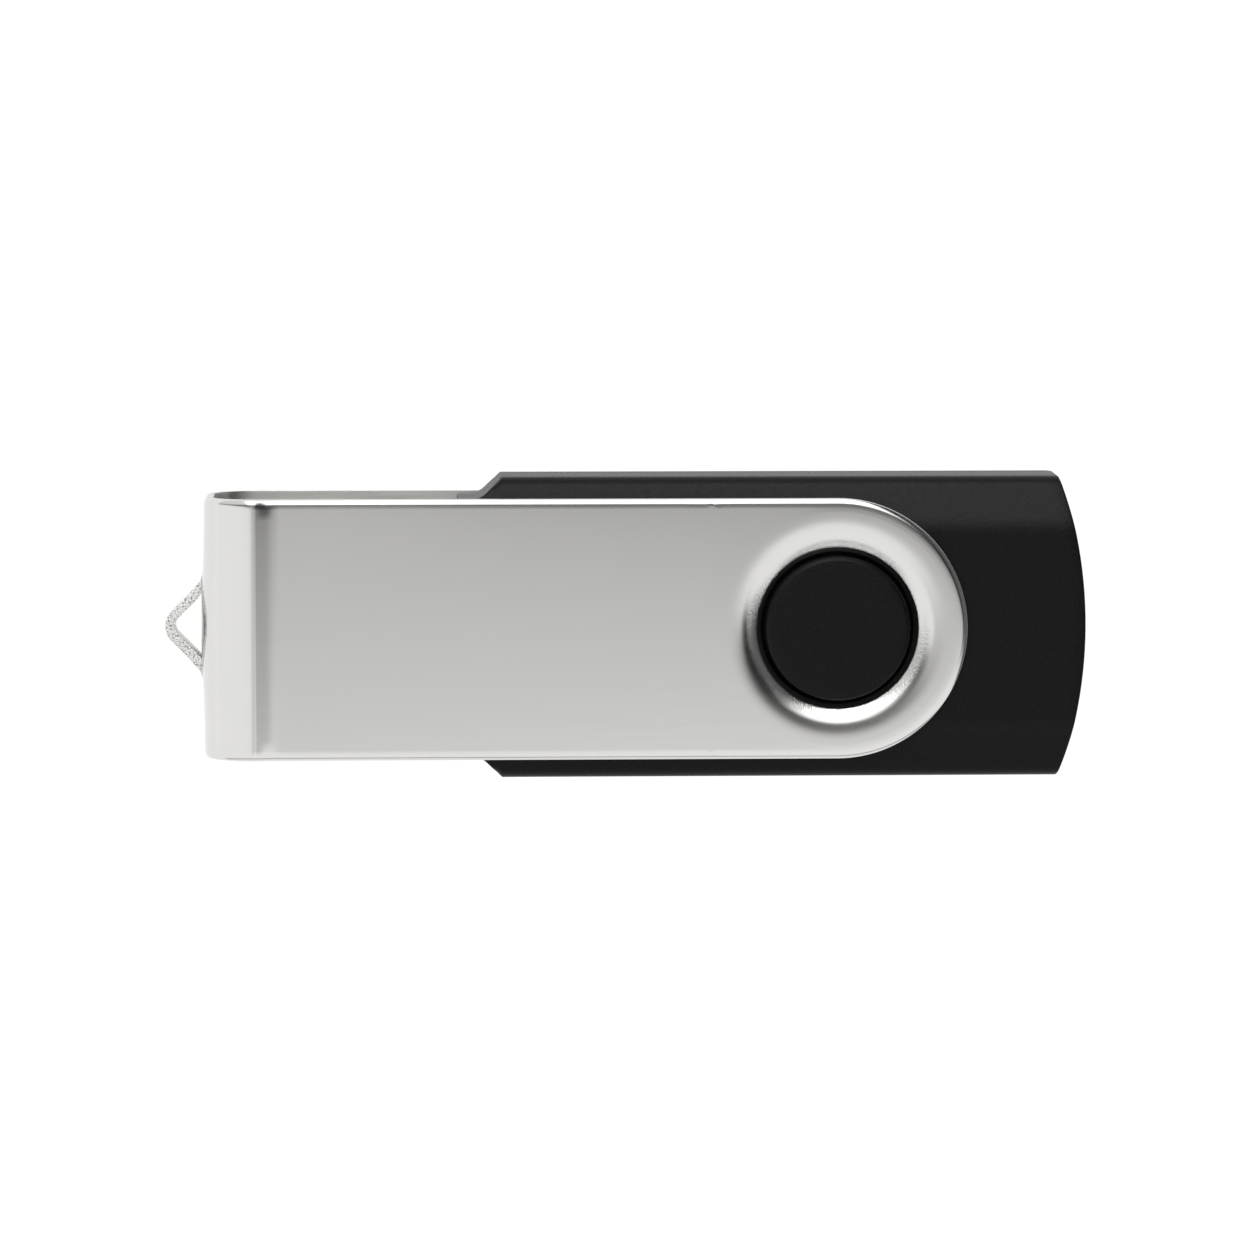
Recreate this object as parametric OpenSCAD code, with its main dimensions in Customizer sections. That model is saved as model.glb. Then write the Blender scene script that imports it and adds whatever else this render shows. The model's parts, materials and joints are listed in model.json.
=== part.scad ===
// USB flash drive: a two-half plastic housing with a type A plug, and a folded steel cover
// that swivels about a boss on each face of the housing.
// X runs along the drive, plug towards -X. Z is up: the drive lies on one plate of its cover.

/* [Overall] */
// Length of the plastic housing, front wall to rear end (mm)
housing_length = 39; // [38.5:0.25:41]
// Width of the plastic housing (mm)
housing_width = 19; // [18.75:0.25:20]
// Height of the whole drive over both plates of the cover (mm)
drive_height = 10; // [10:0.1:11]
// Distance from the swivel axis to the rear end of the housing (mm)
pivot_to_rear = 15.5; // [15.25:0.25:17]

/* [Cover] */
// Width of the folded strip (mm)
cover_width = 16.2; // [15.8:0.1:17]
// Thickness of the steel sheet (mm)
sheet = 0.6; // [0.5:0.05:0.7]
// Outside radius of the two folds (mm)
fold_radius = 3.2; // [2.6:0.1:3.6]
// Clear space between the plug's tip and the folded end (mm)
end_gap = 3.2; // [2.6:0.1:3.8]
// How far the plate dips around each swivel hole (mm)
dish_depth = 0.5; // [0.4:0.05:0.5]
// How far the lanyard loop stands out from the folded end (mm)
loop_reach = 2.45; // [2.2:0.05:2.8]
// Width of the strip that forms the lanyard loop (mm)
loop_strip = 2.5; // [2:0.1:3]

/* [Swivel] */
// Radius of the boss on each face of the housing (mm)
boss_radius = 4.5; // [4.2:0.05:4.6]
// Radial play between a boss and its hole (mm)
swivel_play = 0.2; // [0.1:0.05:0.25]
// Gap between the housing and each plate of the cover (mm)
face_gap = 0.1; // [0.1:0.05:0.2]

/* [Housing] */
// Wall thickness of the housing's sides (mm)
wall = 1.4; // [1.2:0.1:1.5]
// Thickness of the housing's flat faces (mm)
face_wall = 1.5; // [1.4:0.05:1.6]
// Width of the bevel along each long edge (mm)
bevel_width = 3.2; // [2.8:0.1:3.4]
// How far the bevel drops by the side of the housing (mm)
bevel_drop = 1.1; // [0.8:0.1:1.3]

/* [Plug] */
// Length of the plug that stands out of the housing (mm)
plug_exposed = 12; // [11.75:0.05:12.2]
// Number of leads on each end of the flash memory package
flash_leads_per_end = 24; // [16, 20, 24]
// Number of leads on each side of the controller package
controller_leads_per_side = 12; // [8, 10, 12]

/* [Hidden] */
$fn = 96;
eps = 0.01;
far = 60;
// How far a cutting shape runs past what it cuts
over = 1;

// Lengthways positions, all counted from the swivel axis
front = pivot_to_rear - housing_length;
rear = pivot_to_rear;
plug_tip = front - plug_exposed;
web_outer = plug_tip - end_gap - sheet;
loop_tip = web_outer - loop_reach;
pivot_x = (rear - loop_tip) / 2 - rear;

// Heights, all counted from the parting plane
half = drive_height / 2;
plate_inner = half - sheet;
shell_face = plate_inner - face_gap;
ceiling = shell_face - face_wall;

// Cover
plate_radius = cover_width / 2;
edge_round = 0.25;
hole_radius = boss_radius + swivel_play;
lip_round = 0.3;
dish_radius = 7;
dish_run = dish_radius - hole_radius - lip_round;
dish_angle = 2 * atan(dish_depth / dish_run);
dish_arcs = dish_run / sin(dish_angle);
dish_convex = 0.62 * dish_arcs;
dish_concave = dish_arcs - dish_convex;
convex_centre = [dish_radius, -dish_convex];
concave_centre = [dish_radius - dish_run, dish_arcs * cos(dish_angle) - dish_convex];
loop_angle = 45;
loop_sheet = 0.62;
loop_nose = 1.3;
slot_half = 2.75;
root_round = 1;

// Housing
rear_arc = 28;
rear_corner = 0.4;
neck_half = 8.1;
shoulder_back = 2.7;
shoulder_arc = 1.5;
side_round = 0.8;
bevel_angle = atan(bevel_drop / bevel_width);
recess_radius = dish_radius + 0.2;
recess_depth = 0.7;
boss_sink = 0.1;
boss_round = 0.25;
lip_width = 0.6;
lip_height = 0.7;
lip_gap = 0.05;
rib_length = 1.2;
rib_reach = 1;
rib_overlap = 0.5;
rib_places = [-12, -3, 6];
carrier_x = -21.1;
carrier_width = 10;
lip_start = front + 6.5;
front_peg = [-18.9, 7.2];
rear_peg = [11, 5.8];
front_post = 1.05;
front_pin = 0.55;
rear_post = 1.45;
rear_pin = 0.8;
pin_gap = 0.02;
pin_height = 1.2;
plug_grip = 0.03;

// Plug, to the type A standard
plug_width = 12;
plug_height = 4.5;
plug_sheet = 0.3;
plug_corner = 0.6;
plug_length = 18.75;
plug_rear = plug_tip + plug_length;
window_length = 2;
window_width = 2.5;
window_setback = 5.16;
window_offset = 3.5;
contact_width = 1;
contact_thick = 0.15;
contact_outer = 3.5;
contact_inner = 1;
power_setback = 1.2;
data_setback = 2.2;
tongue_setback = 0.4;
tongue_width = 11.3;
tongue_corner = 0.4;
block_length = 5.6;
block_width = 10.7;
block_end = plug_rear - 0.25;
tongue_floor = -plug_height / 2 + plug_sheet;
mouth_top = plug_height / 2 - plug_sheet;
tab_length = 2.75;
tab_leg = 1.2;
tab_low = 0.1;
tab_high = 1;
tab_leg_top = 0.2;
tab_below = 0.5;

// Board and what is soldered to it
pad_thick = 0.05;
board_thick = 1;
board_top = -pad_thick;
board_bottom = board_top - board_thick;
board_front = plug_rear + 0.15;
board_rear = 12.5;
board_half = 7.6;
slot_gap = 0.1;
contact_rear = board_front + 2.4;
pad_margin = 0.1;
contact_pad_start = 0.3;
lead_pad_start = 0.25;
flash_size = [18.4, 12, 1];
flash_x = -1;
flash_pitch = 0.5;
flash_reach = 0.8;
controller_size = [7, 7, 1.4];
controller_x = -6;
controller_pitch = 0.5;
controller_reach = 1;
lead_thick = 0.12;
lead_width = 0.22;
lead_shoulder = 0.25;
lead_knee = 0.4;
lead_pad_width = 0.28;
stand_off = 0.1;
flash_dot_inset = 1.2;
flash_dot_radius = 0.5;
controller_dot_inset = 0.9;
controller_dot_radius = 0.35;
dot_depth = 0.1;
crystal_size = [3.2, 2.5, 0.45];
crystal_x = 2;
crystal_lid_height = 0.3;
crystal_lid_margin = 0.15;
crystal_lid_corner = 0.3;
chip_size = [1.6, 0.8, 0.45];
chip_cap = 0.3;
resistor_places = [[-13, 2.4, 90], [-13, -0.8, 90], [6.2, 3.5, 0], [6.2, -3.5, 0]];
capacitor_places = [[-6, 5.6, 0], [-6, -5.6, 0], [2, 3.4, 0], [2, -3.4, 0], [9, 0, 90]];
led_x = 11;
solder_height = 0.35;
solder_radius = 1;
solder_tip = 0.75;

// ---------- shared shapes ----------

// A rectangle with four true round corners.
module rounded_rectangle(length, width, radius) {
    square([length - 2 * radius, width], center = true);
    square([length, width - 2 * radius], center = true);
    for (x = [-1, 1], y = [-1, 1])
        translate([x * (length / 2 - radius), y * (width / 2 - radius)]) circle(radius);
}

// Part of a ring between two angles less than 180 degrees apart.
module ring_part(inner, outer, from, to) {
    intersection() {
        difference() { circle(outer); circle(inner); }
        polygon([[0, 0], far * [cos(from), sin(from)], far * [cos((from + to) / 2), sin((from + to) / 2)],
                 far * [cos(to), sin(to)]]);
    }
}

// Lays a profile drawn as (Y, Z) along X, from one place to another.
module along_x(from, to) {
    translate([from, 0, 0]) rotate([90, 0, 90]) linear_extrude(to - from) children();
}

// Copies its children to the other side of the parting plane.
module both_faces() {
    children();
    mirror([0, 0, 1]) children();
}

// ---------- cover ----------

// Cross-section of the strip: outer face at height 0, its two outer edges rounded.
module strip_section() {
    translate([-plate_radius, -sheet]) square([cover_width, sheet - edge_round]);
    translate([-plate_radius + edge_round, -sheet]) square([cover_width - 2 * edge_round, sheet]);
    for (s = [-1, 1]) translate([s * (plate_radius - edge_round), -edge_round]) circle(edge_round);
}

// One half of that section, used for the round end of a plate.
module half_section() {
    intersection() {
        strip_section();
        translate([0, -far / 2]) square(far);
    }
}

// Section through the dished rim: an outer bend leaves the plate, and an inner bend levels out
// into the rounded lip of the hole. The two bends meet on the line between their centres.
module dish_section() {
    intersection() {
        translate(convex_centre) difference() { circle(dish_convex); circle(dish_convex - sheet); }
        polygon([convex_centre, [dish_radius, concave_centre[1] + over], concave_centre]);
    }
    intersection() {
        translate(concave_centre) difference() { circle(dish_concave + sheet); circle(dish_concave); }
        polygon([concave_centre, [hole_radius + lip_round, convex_centre[1] - over], convex_centre]);
    }
    translate([hole_radius + lip_round, -dish_depth - lip_round]) intersection() {
        circle(lip_round);
        translate([-lip_round, 0]) square([lip_round, lip_round]);
    }
    translate([hole_radius, -dish_depth - sheet]) square([lip_round, sheet - lip_round]);
}

module cover_half() {
    fold_start = web_outer + fold_radius;
    difference() {
        union() {
            translate([0, 0, half]) along_x(fold_start, 0) strip_section();
            translate([0, 0, half]) rotate([0, 0, -90]) rotate_extrude(angle = 180) half_section();
        }
        translate([0, 0, plate_inner - over]) cylinder(r = dish_radius, h = sheet + 2 * over);
    }
    translate([0, 0, half]) rotate_extrude() dish_section();
    // The fold turns about a line along Y.
    translate([fold_start, 0, half - fold_radius]) rotate([90, 0, 0]) rotate([0, 0, 90])
        rotate_extrude(angle = 90) translate([fold_radius, 0]) rotate(-90) strip_section();
    translate([web_outer, 0, 0]) rotate([0, 0, 90]) linear_extrude(half - fold_radius)
        strip_section();
}

// Plan of the lanyard loop: a round nose and two sloping legs that run into the folded end.
module loop_plan() {
    nose = [loop_tip + loop_nose, 0];
    leg = (slot_half + sheet) / cos(loop_angle);
    root = loop_reach - loop_nose + loop_nose / cos(loop_angle);
    round_centre = [-root_round, root + root_round * (1 / cos(loop_angle) - 1)];
    intersection() {
        union() {
            translate(nose) ring_part(loop_nose - loop_sheet, loop_nose, 180 - loop_angle, 180 + loop_angle);
            for (s = [-1, 1])
                translate(nose) rotate(180 - s * loop_angle) translate([loop_nose - loop_sheet, s > 0 ? -leg : 0])
                    square([loop_sheet, leg]);
        }
        translate([web_outer - far + sheet, -far / 2]) square([far, far]);
    }
    // The sheet curves out of the folded end where each leg starts.
    for (s = [0, 1]) mirror([0, s]) translate([web_outer, 0]) difference() {
        polygon([[eps, root - loop_sheet / 2], [eps, round_centre[1]], [0, round_centre[1]],
                 round_centre + root_round * [cos(loop_angle), -sin(loop_angle)]]);
        translate(round_centre) circle(root_round);
    }
}

module swivel_cover() {
    color([0.74, 0.74, 0.72]) {
        difference() {
            both_faces() cover_half();
            translate([web_outer - over, -slot_half, -loop_strip / 2])
                cube([sheet + 2 * over, 2 * slot_half, loop_strip]);
        }
        translate([0, 0, -loop_strip / 2]) linear_extrude(loop_strip) loop_plan();
    }
}

// ---------- housing ----------

// Plan of the housing, drawn in from its outside by an inset.
module housing_plan(inset) {
    width_half = housing_width / 2 - inset;
    neck = neck_half - inset;
    shoulder = front + shoulder_back;
    intersection() {
        translate([rear - rear_arc, 0]) circle(rear_arc - inset);
        union() {
            translate([shoulder + inset, -width_half]) square([far, 2 * width_half]);
            translate([front + inset, -neck]) square([far, 2 * neck]);
        }
    }
}

// Fills the step behind the neck with a shoulder: a hollow curve, then a slope at 45 degrees.
module shoulder_plan() {
    step = housing_width / 2 - neck_half;
    slope_start = front + shoulder_back - step;
    tangent = shoulder_arc * tan(45 / 2);
    for (s = [0, 1]) mirror([0, s]) difference() {
        translate([slope_start, neck_half])
            polygon([[-tangent, -eps], [step + eps, -eps], [step + eps, step], [step, step],
                     [tangent * cos(45), tangent * sin(45)], [-tangent, 0]]);
        translate([slope_start - tangent, neck_half + shoulder_arc]) circle(shoulder_arc);
    }
}

// Upper half of the cross-section: flat face, bevel, round edge, straight side.
module shell_section() {
    bevel_start = housing_width / 2 - bevel_width;
    round_y = housing_width / 2 - side_round;
    round_z = shell_face - (round_y - bevel_start) * tan(bevel_angle) - side_round / cos(bevel_angle);
    for (s = [0, 1]) mirror([s, 0]) {
        polygon([[-eps, 0], [housing_width / 2, 0], [housing_width / 2, round_z],
                 [round_y + side_round * sin(bevel_angle), round_z + side_round * cos(bevel_angle)],
                 [bevel_start, shell_face], [-eps, shell_face]]);
        translate([round_y, round_z]) circle(side_round);
    }
}

module boss_profile() {
    top = half - boss_sink;
    base = shell_face - recess_depth - eps;
    translate([0, base]) square([boss_radius, top - boss_round - base]);
    translate([0, base]) square([boss_radius - boss_round, top - base]);
    translate([boss_radius - boss_round, top - boss_round]) circle(boss_round);
}

// One half of the housing without the parts that key it to the other half.
module half_shell() {
    difference() {
        intersection() {
            along_x(front - over, rear + over) shell_section();
            linear_extrude(half) union() { housing_plan(0); shoulder_plan(); }
        }
        translate([0, 0, -over]) linear_extrude(ceiling + over) housing_plan(wall);
        translate([0, 0, shell_face - recess_depth]) difference() {
            cylinder(r = recess_radius, h = recess_depth + over);
            translate([0, 0, -over]) cylinder(r = boss_radius - boss_round, h = recess_depth + 3 * over);
        }
        along_x(front - over, front + wall + over)
            rounded_rectangle(plug_width + 2 * plug_grip, plug_height + 2 * plug_grip,
                              plug_corner + plug_grip);
    }
    rotate_extrude() boss_profile();
    // A rib across the housing carries the plug's shell.
    translate([carrier_x, -carrier_width / 2, plug_height / 2])
        cube([rib_length, carrier_width, ceiling + eps - plug_height / 2]);
}

// Pads along both sides that reach from a face of the housing to the board.
module board_ribs(reach_to) {
    inner = board_half - rib_overlap;
    for (x = rib_places, s = [-1, 1])
        translate([x - rib_length / 2, s > 0 ? inner : -inner - rib_reach - eps, reach_to])
            cube([rib_length, rib_reach + eps, ceiling + eps - reach_to]);
}

module upper_shell() {
    color([0.06, 0.06, 0.065]) difference() {
        union() {
            half_shell();
            board_ribs(board_top);
            for (s = [-1, 1]) {
                translate([front_peg[0], s * front_peg[1], 0]) cylinder(r = front_post, h = ceiling + eps);
                translate([rear_peg[0], s * rear_peg[1], board_top])
                    cylinder(r = rear_post, h = ceiling + eps - board_top);
            }
        }
        for (s = [-1, 1]) {
            translate([front_peg[0], s * front_peg[1], -over])
                cylinder(r = front_pin + pin_gap, h = pin_height + over + lip_gap);
            translate([rear_peg[0], s * rear_peg[1], -over])
                cylinder(r = rear_pin + pin_gap, h = pin_height + over + lip_gap);
        }
        // Rebate that takes the other half's lip
        intersection() {
            translate([0, 0, -over]) linear_extrude(over + lip_height + lip_gap) difference() {
                housing_plan(wall - lip_width - lip_gap);
                housing_plan(wall + lip_gap);
            }
            translate([lip_start - lip_gap, -far / 2, -over]) cube(far);
        }
    }
}

module lower_shell() {
    color([0.06, 0.06, 0.065]) {
        mirror([0, 0, 1]) {
            half_shell();
            board_ribs(-board_bottom);
            for (s = [-1, 1]) {
                translate([front_peg[0], s * front_peg[1], 0]) cylinder(r = front_post, h = ceiling + eps);
                translate([rear_peg[0], s * rear_peg[1], -board_bottom])
                    cylinder(r = rear_post, h = ceiling + eps + board_bottom);
            }
        }
        for (s = [-1, 1]) {
            translate([front_peg[0], s * front_peg[1], -eps]) cylinder(r = front_pin, h = pin_height + eps);
            translate([rear_peg[0], s * rear_peg[1], board_bottom - eps])
                cylinder(r = rear_pin, h = pin_height - board_bottom + eps);
        }
        intersection() {
            translate([0, 0, -eps]) linear_extrude(lip_height + eps) difference() {
                housing_plan(wall - lip_width);
                housing_plan(wall);
            }
            translate([lip_start, -far / 2, -over]) cube(far);
        }
    }
}

// ---------- plug ----------

module plug_shell() {
    tab_y = plug_width / 2 - plug_sheet;
    color([0.78, 0.78, 0.76]) {
        difference() {
            along_x(plug_tip, plug_rear) difference() {
                rounded_rectangle(plug_width, plug_height, plug_corner);
                rounded_rectangle(plug_width - 2 * plug_sheet, plug_height - 2 * plug_sheet,
                                  plug_corner - plug_sheet);
            }
            for (s = [-1, 1])
                translate([plug_tip + window_setback, s * window_offset - window_width / 2, -half])
                    cube([window_length, window_width, 2 * half]);
        }
        // Two tabs run back from the sides and down through the board.
        for (s = [-1, 1]) translate([plug_rear - eps, s > 0 ? tab_y : -tab_y - plug_sheet, 0]) {
            translate([0, 0, tab_low]) cube([tab_length + eps, plug_sheet, tab_high - tab_low]);
            translate([tab_length + eps - tab_leg, 0, board_bottom - tab_below])
                cube([tab_leg, plug_sheet, tab_leg_top + tab_below - board_bottom]);
        }
    }
}

module plug_insulator() {
    color([0.9, 0.9, 0.88]) {
        difference() {
            union() {
                along_x(plug_tip + tongue_setback, block_end) difference() {
                    translate([0, tongue_floor / 2]) square([tongue_width, -tongue_floor], center = true);
                    for (s = [-1, 1]) translate([s * tongue_width / 2, tongue_floor])
                        rotate(45) square(tongue_corner, center = true);
                }
                along_x(block_end - block_length, block_end) translate([0, (mouth_top - eps) / 2])
                    square([block_width, mouth_top + eps], center = true);
            }
            // Channels for the four contacts
            for (y = [-contact_outer, -contact_inner, contact_inner, contact_outer])
                translate([block_end - block_length - over, y - contact_width / 2 - pin_gap, 0])
                    cube([block_length + 2 * over, contact_width + 2 * pin_gap, contact_thick + pin_gap]);
        }
    }
}

module contact(y, setback) {
    color([0.85, 0.66, 0.3])
        translate([plug_tip + setback, y - contact_width / 2, 0])
            cube([contact_rear - plug_tip - setback, contact_width, contact_thick]);
}
module contact_vbus() { contact(contact_outer, power_setback); }
module contact_dminus() { contact(contact_inner, data_setback); }
module contact_dplus() { contact(-contact_inner, data_setback); }
module contact_ground() { contact(-contact_outer, power_setback); }

// ---------- board ----------

module circuit_board() {
    tab_slot = [plug_rear + tab_length - tab_leg - slot_gap, plug_width / 2 - plug_sheet - slot_gap];
    color([0.06, 0.3, 0.16]) difference() {
        translate([board_front, -board_half, board_bottom])
            cube([board_rear - board_front, 2 * board_half, board_thick]);
        for (s = [0, 1]) mirror([0, s, 0]) {
            translate([tab_slot[0], tab_slot[1], -half])
                cube([tab_leg + 2 * slot_gap, plug_sheet + 2 * slot_gap, half]);
            translate([rear_peg[0], rear_peg[1], -half]) cylinder(r = rear_pin + slot_gap, h = half);
        }
    }
}

// Places its child at each lead of a row that runs along Y.
module lead_row(count, pitch) {
    for (i = [0 : count - 1]) translate([0, (i - (count - 1) / 2) * pitch, 0]) children();
}

module pad(length, width) {
    translate([0, -width / 2, 0]) cube([length, width, pad_thick]);
}

module board_pads() {
    color([0.83, 0.7, 0.4]) {
        for (y = [-contact_outer, -contact_inner, contact_inner, contact_outer])
            translate([board_front + contact_pad_start, y, board_top])
                pad(contact_rear - board_front, contact_width + 2 * pad_margin);
        for (s = [0, 1]) translate([flash_x, 0, board_top]) mirror([s, 0, 0])
            translate([flash_size[0] / 2 + lead_pad_start, 0, 0])
                lead_row(flash_leads_per_end, flash_pitch) pad(flash_reach, lead_pad_width);
        for (a = [0 : 90 : 270]) translate([controller_x, 0, board_bottom - pad_thick]) rotate(a)
            translate([controller_size[0] / 2 + lead_pad_start, 0, 0])
                lead_row(controller_leads_per_side, controller_pitch) pad(controller_reach, lead_pad_width);
    }
}

// One gull-wing lead: from the side of its package down to its foot.
module gull_lead(reach, rise) {
    across = 0.7 * lead_thick;
    top = rise + lead_thick;
    translate([0, lead_width / 2, 0]) rotate([90, 0, 0]) linear_extrude(lead_width)
        polygon([[0, rise], [lead_shoulder, rise], [lead_knee, 0], [reach, 0], [reach, lead_thick],
                 [lead_knee + across, lead_thick], [lead_shoulder + across, top], [0, top]]);
}

module flash_package() {
    color([0.05, 0.05, 0.05])
        translate([flash_x - flash_size[0] / 2, -flash_size[1] / 2, stand_off])
            difference() {
                cube(flash_size);
                translate([flash_dot_inset, flash_dot_inset, flash_size[2] - dot_depth])
                    cylinder(r = flash_dot_radius, h = over);
            }
}

module flash_leads() {
    color([0.75, 0.75, 0.75]) for (s = [0, 1]) translate([flash_x, 0, 0]) mirror([s, 0, 0])
        translate([flash_size[0] / 2, 0, 0])
            lead_row(flash_leads_per_end, flash_pitch) gull_lead(flash_reach, flash_size[2] / 2);
}

module controller_package() {
    color([0.05, 0.05, 0.05])
        translate([controller_x, 0, board_bottom - pad_thick - stand_off]) mirror([0, 0, 1])
            translate([-controller_size[0] / 2, -controller_size[1] / 2, 0]) difference() {
                cube(controller_size);
                translate([controller_dot_inset, controller_dot_inset, controller_size[2] - dot_depth])
                    cylinder(r = controller_dot_radius, h = over);
            }
}

module controller_leads() {
    color([0.75, 0.75, 0.75]) translate([controller_x, 0, board_bottom - pad_thick]) mirror([0, 0, 1])
        for (a = [0 : 90 : 270]) rotate(a) translate([controller_size[0] / 2, 0, 0])
            lead_row(controller_leads_per_side, controller_pitch) gull_lead(controller_reach, controller_size[2] / 2);
}

module crystal_base() {
    color([0.78, 0.74, 0.62])
        translate([crystal_x - crystal_size[0] / 2, -crystal_size[1] / 2, board_bottom - crystal_size[2]])
            cube(crystal_size);
}

module crystal_lid() {
    color([0.8, 0.8, 0.8])
        translate([crystal_x, 0, board_bottom - crystal_size[2] - crystal_lid_height])
            linear_extrude(crystal_lid_height)
                rounded_rectangle(crystal_size[0] - 2 * crystal_lid_margin,
                                  crystal_size[1] - 2 * crystal_lid_margin, crystal_lid_corner);
}

// The body of a two-terminal chip, without its end caps.
module chip_body(height) {
    translate([-chip_size[0] / 2 + chip_cap, -chip_size[1] / 2, 0])
        cube([chip_size[0] - 2 * chip_cap, chip_size[1], height]);
}

module chip_caps(height) {
    for (s = [0, 1]) mirror([s, 0, 0])
        translate([chip_size[0] / 2 - chip_cap, -chip_size[1] / 2, 0]) cube([chip_cap, chip_size[1], height]);
}

// Stands chips on the underside of the board.
module under_board(places) {
    for (p = places) translate([p[0], p[1], board_bottom]) mirror([0, 0, 1]) rotate(p[2]) children();
}

module resistors() { color([0.08, 0.08, 0.09]) under_board(resistor_places) chip_body(chip_size[2]); }
module resistor_terminals() { color([0.8, 0.8, 0.8]) under_board(resistor_places) chip_caps(chip_size[2]); }
module capacitors() { color([0.55, 0.42, 0.3]) under_board(capacitor_places) chip_body(chip_size[1]); }
module capacitor_terminals() { color([0.8, 0.8, 0.8]) under_board(capacitor_places) chip_caps(chip_size[1]); }

module status_led() {
    color([0.85, 0.9, 0.8]) translate([led_x, 0, board_top]) rotate(90) chip_body(chip_size[2]);
}
module led_terminals() {
    color([0.8, 0.8, 0.8]) translate([led_x, 0, board_top]) rotate(90) chip_caps(chip_size[2]);
}

// A cone of solder around each tab where it comes out under the board.
module tab_solder() {
    tab_x = plug_rear + tab_length - tab_leg / 2;
    tab_y = plug_width / 2 - plug_sheet / 2;
    color([0.78, 0.78, 0.8]) for (s = [-1, 1]) translate([tab_x, s * tab_y, board_bottom - solder_height])
        difference() {
            cylinder(r1 = solder_tip, r2 = solder_radius, h = solder_height);
            translate([-tab_leg / 2, -plug_sheet / 2, -over]) cube([tab_leg, plug_sheet, 2 * over]);
        }
}

// ---------- the whole drive, in its row frame ----------

translate([pivot_x, 0, half]) {
    swivel_cover();
    upper_shell();
    lower_shell();
    plug_shell();
    plug_insulator();
    contact_vbus();
    contact_dminus();
    contact_dplus();
    contact_ground();
    circuit_board();
    board_pads();
    flash_package();
    flash_leads();
    controller_package();
    controller_leads();
    crystal_base();
    crystal_lid();
    resistors();
    resistor_terminals();
    capacitors();
    capacitor_terminals();
    status_led();
    led_terminals();
    tab_solder();
}
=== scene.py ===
"""A closed USB flash drive with a swivel cover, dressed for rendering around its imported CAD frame.

Lengths in this script are millimetres unless a name says otherwise. Meshes are scaled to metres as
they are made, in the same frame as the CAD: X along the drive, Z up.
"""

import json
from math import atan, cos, exp, pi, radians, sin, sqrt, tan

import bmesh
import bpy
from mathutils import Matrix, Vector


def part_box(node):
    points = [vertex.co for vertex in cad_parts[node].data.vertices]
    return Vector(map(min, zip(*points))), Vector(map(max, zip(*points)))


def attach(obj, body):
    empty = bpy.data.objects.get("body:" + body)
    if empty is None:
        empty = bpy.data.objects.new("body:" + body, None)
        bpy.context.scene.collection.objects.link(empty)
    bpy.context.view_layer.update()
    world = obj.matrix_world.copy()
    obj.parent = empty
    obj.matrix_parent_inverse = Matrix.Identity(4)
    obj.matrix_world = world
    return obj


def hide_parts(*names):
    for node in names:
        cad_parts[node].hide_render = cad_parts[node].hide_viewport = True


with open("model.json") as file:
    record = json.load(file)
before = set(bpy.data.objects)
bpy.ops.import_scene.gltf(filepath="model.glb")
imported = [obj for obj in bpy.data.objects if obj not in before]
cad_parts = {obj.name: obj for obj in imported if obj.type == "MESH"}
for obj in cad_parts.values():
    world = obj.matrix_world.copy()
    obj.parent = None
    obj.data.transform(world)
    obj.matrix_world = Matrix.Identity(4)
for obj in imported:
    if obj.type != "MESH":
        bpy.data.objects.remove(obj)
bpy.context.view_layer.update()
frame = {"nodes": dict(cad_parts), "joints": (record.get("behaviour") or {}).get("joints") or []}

# ---------- sizes ----------

MM = 0.001


def span(node):
    """Lowest and highest corner of a CAD node, in millimetres."""
    low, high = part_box(node)
    return low / MM, high / MM


cover_low, cover_high = span("swivel_cover")
shell_low, shell_high = span("upper_shell")
plug_low, plug_high = span("plug_shell")

PIVOT = frame["joints"][0]["pos_m"][0] / MM
HEIGHT = cover_high.z
MIDDLE = HEIGHT / 2

# Cover: a strip of sheet with two plates, two quarter turns and the folded end, called the web
PLATE_HALF = cover_high.y
SHEET = 0.6
FOLD_RADIUS = 3.2
LOOP_REACH = 2.45
WEB_X = cover_low.x + LOOP_REACH
FOLD_X = WEB_X + FOLD_RADIUS
# Dished rim round the hole: a cubic slope, a lip and a short collar
HOLE_RADIUS = 4.7
DISH_RADIUS = 7.35
DISH_CURVE = 0.048
LIP_RADIUS = 5.06
COLLAR_RADIUS = 4.92
COLLAR_SLOPE = 1.1
# Rolled edge of the blanked strip; the shares of its width set where the mesh has its rows
ROLL_WIDTH = 0.42
ROLL_DEPTH = 0.2
ROLL_SHARES = (0, 0.03, 0.12, 0.26, 0.46, 0.7, 1, 1.5)
DROOP = 0.004
# Raised line beside the fold, and the hollow at each end of it
RIDGE = 0.18
RIDGE_WIDTH = 1.5
DENT = 0.014
DENT_LENGTH = 1.3
DENT_INSET = 0.63
DENT_FADE = 0.21
# Lanyard loop, its slits and the bulge that pressing it out has left
WEB_BULGE = 0.26
BULGE_SPREAD = 4.2
LOOP_STRIP = 2.5
LOOP_NOSE = 1.3
SLIT_HALF = 3.4
SLIT_GAP = 0.05
BURR = 0.06

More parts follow.
